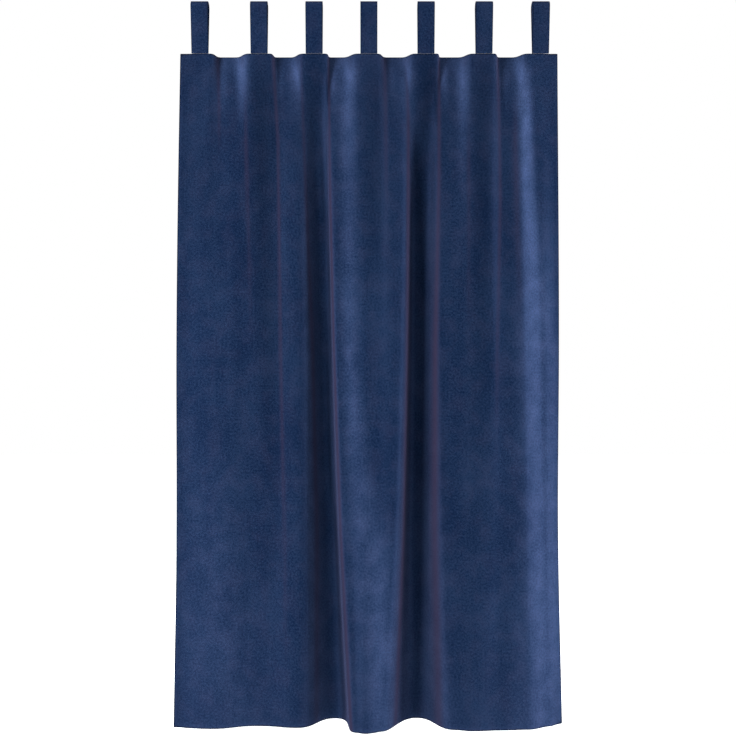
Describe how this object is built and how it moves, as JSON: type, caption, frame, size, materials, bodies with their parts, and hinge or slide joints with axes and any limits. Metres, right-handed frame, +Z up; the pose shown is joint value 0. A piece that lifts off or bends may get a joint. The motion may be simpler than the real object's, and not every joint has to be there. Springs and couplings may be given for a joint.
{
  "type": "tab-top velvet curtain panel",
  "caption": "Navy velvet curtain panel hanging in soft uneven folds from tab loops along its heading, with no tieback and no rod.",
  "frame": {"origin": "middle of the rod line that passes through the tab loops", "axes": "+X to the viewer's right along the rod, -Y out of the front of the cloth, +Z up"},
  "size_m": [1.3126, 0.1284, 2.4501],
  "materials": {
    "velvet": "navy cut-pile velvet, soft sheen at glancing angles",
    "velvet_tab": "the same velvet, doubled and sewn into straps"
  },
  "bodies": {
    "root": {"curtain_panel": "velvet", "tab_1": "velvet_tab", "tab_2": "velvet_tab", "tab_3": "velvet_tab", "tab_4": "velvet_tab", "tab_5": "velvet_tab", "tab_6": "velvet_tab", "tab_7": "velvet_tab"}
  },
  "joints": []
}
